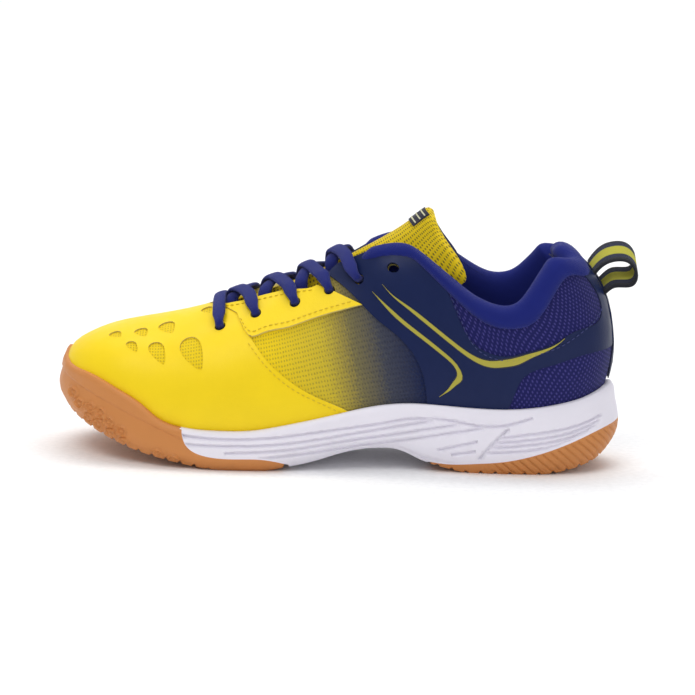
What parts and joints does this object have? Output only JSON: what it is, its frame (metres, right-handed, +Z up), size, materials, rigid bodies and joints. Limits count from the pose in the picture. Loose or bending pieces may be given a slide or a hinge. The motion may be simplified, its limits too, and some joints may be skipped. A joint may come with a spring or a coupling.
{
  "type": "court shoe",
  "caption": "Low-cut lace-up court shoe for the left foot: gum rubber outsole, foam midsole, layered mesh and film upper, padded collar, tongue and heel pull loop.",
  "frame": {"origin": "centre of the bounding box's bottom face, on the ground the shoe stands on", "axes": "+Z up, toe towards -X and heel towards +X, outer (lateral) side towards -Y and inner (medial) side towards +Y"},
  "size_m": [0.304, 0.1067, 0.1347],
  "materials": {
    "outsole_forefoot": "matt gum rubber",
    "outsole_heel": "matt gum rubber",
    "midsole": "moulded foam, white with a violet cast",
    "shank_plate": "satin",
    "strobel_board": "non-woven board",
    "sockliner": "textile-topped foam",
    "toe_puff": "thermoplastic sheet",
    "heel_counter": "thermoplastic sheet",
    "vamp_mesh": "spacer mesh",
    "quarter_mesh": "spacer mesh",
    "vamp_film": "smooth synthetic film",
    "eyestay_lateral": "smooth synthetic",
    "eyestay_medial": "smooth synthetic",
    "quarter_film_lateral": "satin synthetic film",
    "quarter_film_medial": "satin synthetic film",
    "heel_stay": "satin synthetic",
    "vamp_lining": "brushed textile",
    "collar_foam": "open-cell foam",
    "collar_lining": "brushed textile",
    "tongue_shell": "spacer mesh",
    "tongue_foam": "open-cell foam",
    "tongue_lining": "brushed textile",
    "tongue_label": "woven label",
    "lace": "flat tubular braid",
    "aglet_lateral": "gloss",
    "aglet_medial": "gloss",
    "pull_loop": "woven webbing"
  },
  "bodies": {
    "shoe": {"outsole_forefoot": "outsole_forefoot", "outsole_heel": "outsole_heel", "midsole": "midsole", "shank_plate": "shank_plate", "strobel_board": "strobel_board", "sockliner": "sockliner", "toe_puff": "toe_puff", "heel_counter": "heel_counter", "vamp_mesh": "vamp_mesh", "quarter_mesh": "quarter_mesh", "vamp_film": "vamp_film", "eyestay_lateral": "eyestay_lateral", "eyestay_medial": "eyestay_medial", "quarter_film_lateral": "quarter_film_lateral", "quarter_film_medial": "quarter_film_medial", "heel_stay": "heel_stay", "vamp_lining": "vamp_lining", "collar_foam": "collar_foam", "collar_lining": "collar_lining", "lace": "lace", "aglet_lateral": "aglet_lateral", "aglet_medial": "aglet_medial"},
    "tongue": {"tongue_shell": "tongue_shell", "tongue_foam": "tongue_foam", "tongue_lining": "tongue_lining", "tongue_label": "tongue_label"},
    "pull_loop": {"pull_loop": "pull_loop"}
  },
  "joints": [
    {"name": "tongue_fold", "type": "hinge", "parent": "shoe", "child": "tongue", "pos_m": [-0.0672, 0, 0.069], "axis": [0, 1, 0], "range_deg": [0, 12], "stiffness_Nm_per_rad": 2, "springref_deg": -1.15},
    {"name": "pull_loop_flex", "type": "hinge", "parent": "shoe", "child": "pull_loop", "pos_m": [0.1353, -0.001, 0.1014], "axis": [0, 1, 0], "range_deg": [-12, 12], "stiffness_Nm_per_rad": 0.05}
  ]
}
